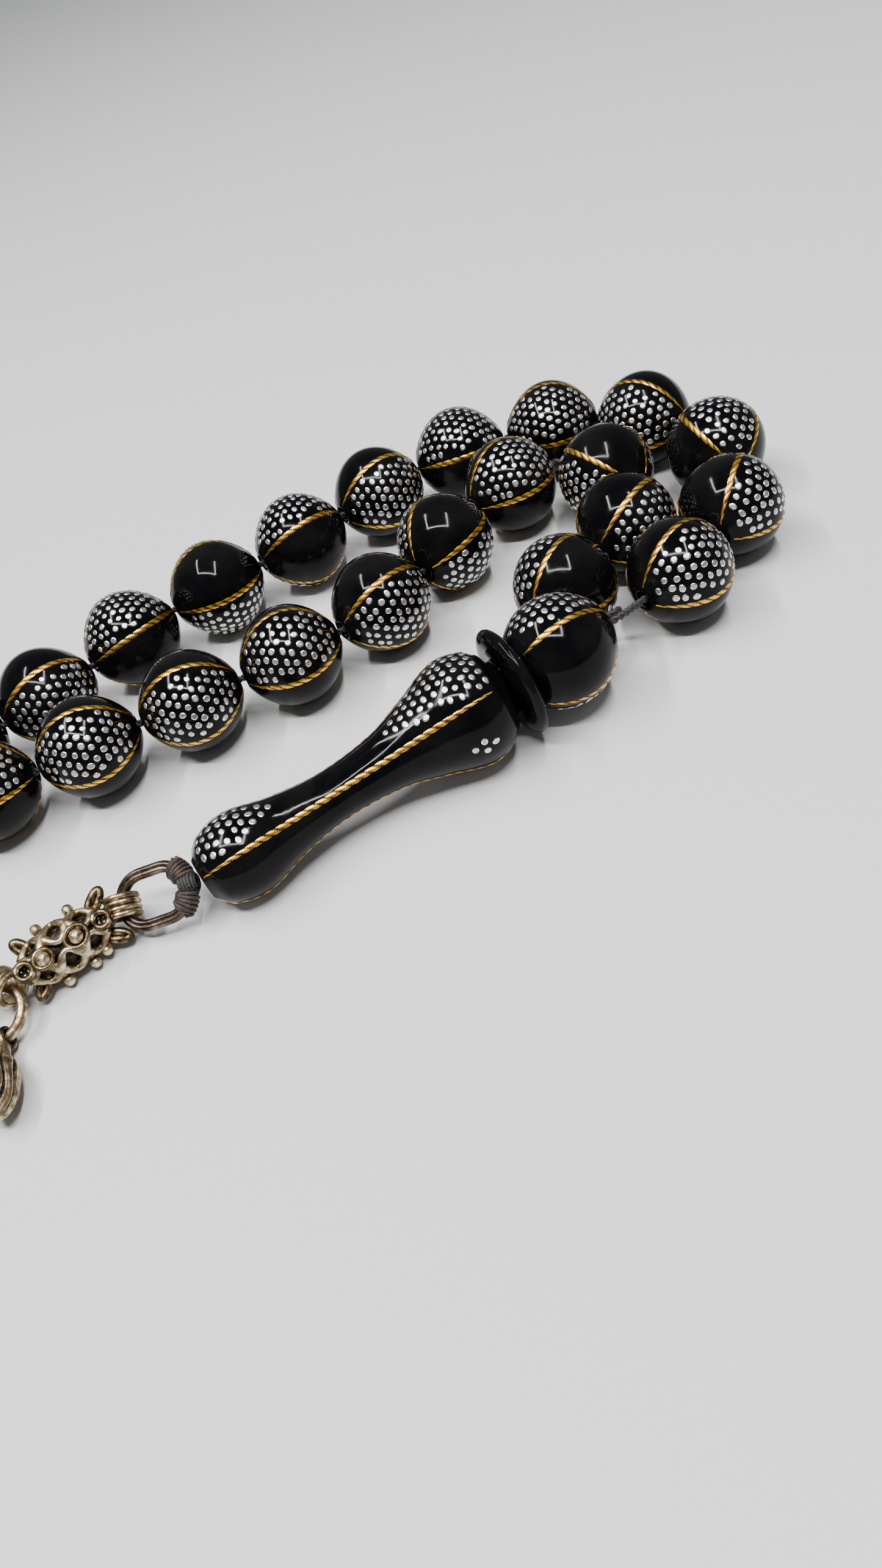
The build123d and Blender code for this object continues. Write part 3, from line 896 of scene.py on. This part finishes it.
LASHING_CENTRE = swing_place("link_swing")
LINK_FAR_END = swing_place("connector_swing")
CONNECTOR_FAR_END = swing_place("ring_swing")
PENDANT_TOP = swing_place("pendant_swing")
LINK_AXIS = (LINK_FAR_END - LASHING_CENTRE).normalized()
LINK_LENGTH = (LINK_FAR_END - LASHING_CENTRE).length
LINK_FRAME = frame_along(LASHING_CENTRE, LINK_AXIS, LINK_AXIS.cross(swing_axis("link_swing")))
CONNECTOR_AXIS = (CONNECTOR_FAR_END - LINK_FAR_END).normalized()
CONNECTOR_FRAME = frame_along(
    (LINK_FAR_END + CONNECTOR_FAR_END) / 2, CONNECTOR_AXIS, CONNECTOR_FACES
)
PENDANT_AXIS = (
    Matrix.Rotation(radians(PENDANT_HEADING), 3, "Z")
    @ Matrix.Rotation(radians(-PENDANT_RISE), 3, "Y")
    @ Vector((1, 0, 0))
)
PENDANT_FRAME = frame_along(PENDANT_TOP, PENDANT_AXIS, swing_axis("pendant_swing"))


# ---- Lashing ----

LASHING_THREAD_RADIUS = 0.2
LASHING_UNEVENNESS = 0.03
# Each layer of an arm: where it starts and stops in degrees round the bend, and its turns.
ARM_LAYERS = ((12, 60, 7), (18, 54, 5))
# Each layer of the knot: its radius, where it starts and stops along the link, and its turns.
KNOT_LAYERS = ((0.75, -1.15, 0.85, 6), (0.96, -1.0, 0.8, 5), (1.17, -0.7, 0.65, 4))


def wind_round_bend(start_angle, stop_angle, reach, turns):
    """Path of thread wound round the link's near bend between two angles from its end."""
    path = []
    steps = turns * 14
    for step in range(steps + 1):
        t = step / steps
        along = radians(180 + start_angle + (stop_angle - start_angle) * t)
        winding = tau * turns * t
        uneven = reach + LASHING_UNEVENNESS * sin(3.1 * winding)
        outward = Vector((cos(along), sin(along), 0))
        path.append(
            Vector((LINK_BEND, 0, 0))
            + outward * (LINK_BEND + uneven * cos(winding))
            + Vector((0, 0, uneven * sin(winding)))
        )
    return path


def wind_knot(radius, start, stop, turns):
    """Path of thread wound about the string's end, square to the link's bend."""
    path = []
    steps = turns * 18
    for step in range(steps + 1):
        t = step / steps
        winding = tau * turns * t + radius
        x = start + (stop - start) * t
        path.append(Vector((x, radius * cos(winding), 0.92 * radius * sin(winding))))
    return path


def make_lashing():
    """Brown arms of thread wound on the link's wire, each side of a black knot."""
    shape = Shape()
    inner = LINK_WIRE_RADIUS + LASHING_THREAD_RADIUS
    for side in (-1, 1):
        for layer, (near, far, turns) in enumerate(ARM_LAYERS):
            reach = inner + layer * 1.2 * LASHING_THREAD_RADIUS
            path = wind_round_bend(side * near, side * far, reach, turns)
            add_strand(shape, path, LASHING_THREAD_RADIUS, 7, 1)
    for layer in KNOT_LAYERS:
        add_strand(shape, wind_knot(*layer), LASHING_THREAD_RADIUS, 7, 0)
    return shape.mesh("wound_lashing", [THREAD, BROWN_THREAD])


place("wound_lashing", make_lashing(), "link", LINK_FRAME, ["lashing"])


# ---- Oval link ----


def grooved_section(radius, sides, depth, width):
    """Round section with a groove along its top and bottom, as (outward, upward) pairs."""
    section = []
    for step in range(sides):
        angle = tau * step / sides
        from_top = acos(min(1, abs(sin(angle)))) / width
        groove = depth * exp(-(from_top**2))
        section.append(((radius - groove) * cos(angle), (radius - groove) * sin(angle)))
    return section


def make_oval_link():
    """Grooved wire bent into an oval, its grooves given painted shade."""
    shape = Shape()
    sides = 40
    steps = 24
    section = grooved_section(LINK_WIRE_RADIUS, sides, depth=0.17, width=0.3)
    straight = LINK_LENGTH - 2 * LINK_BEND
    rows = []
    for start_angle, centre_x in ((90, LINK_BEND), (-90, LINK_BEND + straight)):
        for step in range(steps + 1):
            angle = radians(start_angle + 180 * step / steps)
            outward = Vector((cos(angle), sin(angle), 0))
            centre = Vector((centre_x, 0, 0)) + outward * LINK_BEND
            rows.append([centre + outward * across + Vector((0, 0, up)) for across, up in section])
    shape.add_grid(rows, 0, closed_along=True)
    # Faces along the top and bottom grooves get painted shade.
    shape.darken(sides, lambda side: abs(sin(tau * (side + 0.5) / sides)) > 0.985)
    return shape.mesh("grooved_oval_link", [BRONZE, RECESS_SHADE])


place("grooved_oval_link", make_oval_link(), "link", LINK_FRAME, ["oval_link"])


# ---- Connector ----

RIB_COUNT = 4
RIB_SWAY = 33
RIB_WAVES = 1.5
RIB_REACH = 4.1
RIB_THICKNESS = 0.4
SOCKET_AT = 4.25
SOCKET_WIRE = 0.32
SOCKET_FLOOR = 1.55
LEAF_WIRE = 0.42
STEM_RADIUS = 0.34
GRANULE_RADIUS = 0.6

# Distance of the barrel's ribs, and of the core under them that carries painted shade, from its
# axis.
rib_height = spindle(2.45, 5.0, 0.45)
core_height = spindle(1.95, 4.8, 0.45)

# Each bezel: where it is along the barrel, and the radii of its rim and ball.
BEZELS = ((-1.5, 1.15, 0.74), (2.15, 0.95, 0.72))
# Each leaf: end, side, where its root is along the barrel, splay in degrees, half length.
LEAVES = (
    (-1, -1, 3.6, 36, 1.25),
    (-1, 1, 3.6, 36, 1.25),
    (1, -1, 2.9, 62, 1.0),
    (1, 1, 2.9, 44, 1.1),
)
# The granules on each side of the barrel, by where they are along it.
SIDE_GRANULES = ((-1, (-2.1, 1.4)), (1, (-3.0, -1.5, 1.45)))


def add_ball(shape, centre, radius, slot, rings=8, sides=14):
    """A soldered granule."""
    rows = []
    for i in range(1, rings):
        polar = pi * i / rings
        height = centre - Vector((0, 0, radius * cos(polar)))
        rows.append(
            [
                height
                + Vector((cos(tau * j / sides), sin(tau * j / sides), 0)) * (radius * sin(polar))
                for j in range(sides)
            ]
        )
    shape.add_grid(rows, slot)
    shape.add_cap(rows[0], centre - Vector((0, 0, radius)), slot, flip=True)
    shape.add_cap(rows[-1], centre + Vector((0, 0, radius)), slot)


def add_loop(shape, centre, first, second, wire, slot=0, steps=32, sides=10):
    """A closed oval loop of wire; first and second are its half-axes."""
    normal = first.cross(second).normalized()
    rows = []
    for i in range(steps):
        angle = tau * i / steps
        outward = first * cos(angle) + second * sin(angle)
        tangent = (second * cos(angle) - first * sin(angle)).normalized()
        away = tangent.cross(normal)
        rows.append(
            [
                centre
                + outward
                + away * (wire * cos(tau * j / sides))
                + normal * (wire * sin(tau * j / sides))
                for j in range(sides)
            ]
        )
    shape.add_grid(rows, slot, closed_along=True)


def add_rib(shape, middle_angle, sway, phase):
    """One broad curling rib that runs the length of the barrel."""
    steps = 48
    sides = 12
    rows = []
    for step in range(steps + 1):
        t = step / steps
        x = RIB_REACH * (2 * t - 1)
        wave = tau * (RIB_WAVES * t + phase)
        angle = radians(middle_angle + sway * sin(wave))
        slope = radians(sway) * tau * RIB_WAVES * cos(wave) / (2 * RIB_REACH) * rib_height(x)
        outward = Vector((0, cos(angle), sin(angle)))
        around = Vector((0, -sin(angle), cos(angle)))
        tangent = (Vector((1, 0, 0)) + around * slope).normalized()
        across = outward.cross(tangent)
        centre = Vector((x, 0, 0)) + outward * rib_height(x)
        half_width = RIB_THICKNESS + 0.12 * cos(tau * 3 * t)
        section = []
        for j in range(sides):
            turn = tau * j / sides
            offset = across * (half_width * cos(turn)) + outward * (RIB_THICKNESS * sin(turn))
            section.append(centre + offset)
        rows.append(section)
    shape.add_grid(rows, 0)
    shape.add_cap(rows[0], sum(rows[0], Vector()) / sides, 0, flip=True)
    shape.add_cap(rows[-1], sum(rows[-1], Vector()) / sides, 0)


def add_bezels(shape, facing):
    """Two rimmed seats with balls, on the barrel's front or back."""
    for x, rim, ball in BEZELS:
        seat = Vector((x, 0, rib_height(0) * facing))
        add_loop(shape, seat, Vector((rim, 0.3, 0)), Vector((-0.25, 0.85 * rim, 0)), 0.26)
        add_loop(
            shape,
            seat - Vector((0, 0, 0.3 * facing)),
            Vector((rim - 0.1, 0.3, 0)),
            Vector((-0.25, 0.8 * rim, 0)),
            0.3,
        )
        add_ball(shape, seat + Vector((0, 0, 0.1 * facing)), ball, 0, 12, 20)


def add_sockets(shape, facing):
    """Open ring sockets at both ends of the barrel, their floors in painted shade, with a few
    specks.
    """
    for x in (-SOCKET_AT, SOCKET_AT):
        for depth, radius in ((0, 0.78), (0.35, 0.8), (0.7, 0.8)):
            rim = Vector((x, 0, (2.15 - depth) * facing))
            add_loop(shape, rim, Vector((radius, 0, 0)), Vector((0, radius, 0)), SOCKET_WIRE)
        floor = Vector((x, 0, SOCKET_FLOOR * facing))
        ring = [
            floor + Vector((0.75 * cos(tau * j / 20), 0.75 * sin(tau * j / 20), 0))
            for j in range(20)
        ]
        # The socket floor takes painted shade.
        shape.add_cap(ring, floor - Vector((0, 0, 0.2 * facing)), 1, flip=facing < 0)
        for speck in range(4):
            angle = tau * speck / 4 + x
            offset = Vector((0.34 * cos(angle), 0.34 * sin(angle), 0.06 * facing))
            add_ball(shape, floor + offset, 0.15, 0, 5, 8)


def add_leaf(shape, end, side, root_at, splay, length):
    """A splayed loop of thick wire at one corner of the connector."""
    splay = radians(splay)
    direction = Vector((end * cos(splay), side * sin(splay), 0))
    across = Vector((-end * sin(splay), side * cos(splay), 0))
    middle = Vector((end * root_at, side * 1.3, 0.25)) + direction * length
    add_loop(shape, middle, direction * length, across * 0.4, LEAF_WIRE, 0, 30, 10)


def make_connector():
    """Openwork barrel: curling ribs over a core in painted shade, with bezels, balls, sockets and
    leaves.
    """
    shape = Shape()
    reach = 4.5
    core = [turned_row(x, core_height(x), 28) for x in cosine_steps(-reach, reach, 24)]
    # The core takes painted shade, standing for the dark inside of the openwork.
    shape.add_grid(core, 1)
    shape.add_cap(core[0], Vector((-reach, 0, 0)), 1, flip=True)
    shape.add_cap(core[-1], Vector((reach, 0, 0)), 1)
    for rib in range(RIB_COUNT):
        middle_angle = 45 + 360 * rib / RIB_COUNT
        for phase in (0, 0.5):
            add_rib(shape, middle_angle, RIB_SWAY, phase)
    for facing in (-1, 1):
        add_bezels(shape, facing)
        add_sockets(shape, facing)
    for side, places in SIDE_GRANULES:
        for x in places:
            centre = Vector((x, side * (rib_height(x) + GRANULE_RADIUS), 0))
            add_ball(shape, centre, GRANULE_RADIUS, 0, 10, 16)
            stem = [Vector((x, side * (rib_height(x) + rise), 0)) for rise in (-0.3, 0, 0.3)]
            add_strand(shape, stem, STEM_RADIUS, 9, 0)
    for end in (-1, 1):
        for x, radius in ((3.95, 1.25), (4.5, 1.0)):
            centre = Vector((end * x, 0, 0))
            add_loop(shape, centre, Vector((0, radius, 0)), Vector((0, 0, radius)), STEM_RADIUS)
        neck = [Vector((end * x, 0, 0)) for x in (4.0, 4.4, 4.75)]
        add_strand(shape, neck, 0.95, 18, 0)
    for leaf in LEAVES:
        add_leaf(shape, *leaf)
    return shape.mesh("filigree_connector", [ANTIQUE, RECESS_SHADE])


place(
    "filigree_connector",
    make_connector(),
    "connector",
    CONNECTOR_FRAME,
    ["connector_barrel", "connector_granules"],
)


# ---- Bails, jump ring and pendant ----

for name in ("connector_upper_bail", "connector_lower_bail", "jump_ring"):
    mesh = frame["nodes"][name].data
    mesh.materials.clear()
    mesh.materials.append(ANTIQUE)


PENDANT_LOBES = 9
PENDANT_OUTLINE = (
    (1.1, 0.75),
    (2.2, 0.9),
    (3.6, 1.72),
    (5.6, 2.12),
    (8.0, 1.85),
    (9.3, 1.1),
    (9.68, 0.35),
)
# The strap's section: how far out from its hoop's centre, and how far up along its axis.
STRAP_SECTION = (
    (0.82, -0.62),
    (0.95, -0.7),
    (1.2, -0.6),
    (1.24, 0),
    (1.2, 0.6),
    (0.95, 0.7),
    (0.82, 0.62),
    (0.8, 0),
)


def clamp(share):
    """The share, kept between none and all."""
    return min(1, max(0, share))


def add_bud(shape):
    """The fluted bud, with long wavering grooves that fade out at both ends; the deepest parts get
    painted shade.
    """
    outline = smooth_outline(PENDANT_OUTLINE)
    top = PENDANT_OUTLINE[0][0]
    tip = PENDANT_OUTLINE[-1][0]
    sides = 176
    rows = []
    depths = []
    for x in cosine_steps(top, tip, 56):
        fade = clamp((x - 1.3) / 1.6) * clamp((9.6 - x) / 0.9)
        row = []
        for j in range(sides):
            turn = tau * j / sides
            flute = PENDANT_LOBES * j / sides + 0.16 * sin(1.1 * x + 3 * turn) + 0.05 * x
            lobe = flute % 1 - 0.5
            groove = exp(-((lobe / 0.14) ** 2)) * fade
            crown = 0.05 * cos(tau * lobe) * fade
            radius = outline(x) * (1 - 0.2 * groove + crown - 0.05)
            row.append(Vector((x, radius * cos(turn), radius * sin(turn))))
            depths.append(groove)
        rows.append(row)
    shape.add_grid(rows, 0)
    # Faces deep in the grooves get painted shade.
    for face in range(len(shape.slots)):
        if depths[face] > 0.5:
            shape.slots[face] = 1
    shape.add_cap(rows[-1], Vector((tip + 0.02, 0, 0)), 0)
    shape.add_cap(rows[0], Vector((top - 0.05, 0, 0)), 0, flip=True)


def add_strap(shape):
    """The flat hoop that the pendant hangs by."""
    steps = 40
    band = []
    for step in range(steps):
        angle = tau * step / steps
        outward = Vector((cos(angle), sin(angle), 0))
        band.append([outward * reach + Vector((0, 0, up)) for reach, up in STRAP_SECTION])
    shape.add_grid(band, 0, closed_along=True)


def make_pendant():
    """A fluted bud and its strap, cast in one."""
    shape = Shape()
    add_bud(shape)
    add_strap(shape)
    return shape.mesh("melon_pendant", [ANTIQUE, RECESS_SHADE])


place("melon_pendant", make_pendant(), "pendant", PENDANT_FRAME, ["pendant"])


# ---- Floor, light and camera ----


def make_floor():
    """Plain pale floor."""
    material = new_material("pale_floor", (0.62, 0.62, 0.62), 0.6)[0]
    mesh = bpy.data.meshes.new("floor")
    quarters = ((-1, -1), (1, -1), (1, 1), (-1, 1))
    corners = [(x * FLOOR_HALF_WIDTH, y * FLOOR_HALF_WIDTH, FLOOR_LEVEL) for x, y in quarters]
    mesh.from_pydata(corners, [], [(0, 1, 2, 3)])
    mesh.materials.append(material)
    floor = bpy.data.objects.new("floor", mesh)
    bpy.context.scene.collection.objects.link(floor)


def add_strip_light(name, start, end, width, power):
    """A long lamp between two points, facing the middle of the object."""
    middle = (start + end) / 2
    along = (end - start).normalized()
    away = (middle - along * middle.dot(along)).normalized()
    light = bpy.data.lights.new(name, "AREA")
    light.shape = "RECTANGLE"
    light.size = (end - start).length
    light.size_y = width
    light.energy = power
    lamp = bpy.data.objects.new(name, light)
    lamp.matrix_world = Matrix((along, away.cross(along), away)).transposed().to_4x4()
    lamp.location = middle
    bpy.context.scene.collection.objects.link(lamp)


def add_lamps():
    """Three strips above the beads, set as a U, whose reflections show in the polished stone."""
    corners = [Vector(corner) for corner in LAMP_CORNERS]
    names = ("left_strip", "cross_strip", "right_strip")
    for name, start, end in zip(names, corners, corners[1:]):
        power = LAMP_POWER * (end - start).length
        add_strip_light(name, start, end, LAMP_WIDTH, power)


def make_world():
    """Even pale surroundings."""
    world = bpy.data.worlds.new("studio")
    world.use_nodes = True
    background = world.node_tree.nodes["Background"]
    background.inputs["Color"].default_value = (0.93, 0.96, 1.0, 1)
    background.inputs["Strength"].default_value = SURROUNDINGS_STRENGTH
    bpy.context.scene.world = world


def make_camera():
    """Close phone view over the imame, turned a little clockwise."""
    camera = bpy.data.cameras.new("camera")
    camera.lens = CAMERA_LENS
    camera.sensor_width = 36
    camera.clip_start = 0.005
    view = bpy.data.objects.new("camera", camera)
    turn = Matrix.Rotation(radians(CAMERA_HEADING - 90), 4, "Z")
    tilt = Matrix.Rotation(radians(90 - CAMERA_DIP), 4, "X")
    spin = Matrix.Rotation(radians(CAMERA_ROLL), 4, "Z")
    view.matrix_world = Matrix.Translation(CAMERA_PLACE) @ turn @ tilt @ spin
    bpy.context.scene.collection.objects.link(view)
    bpy.context.scene.camera = view


make_floor()
make_world()
add_lamps()
make_camera()
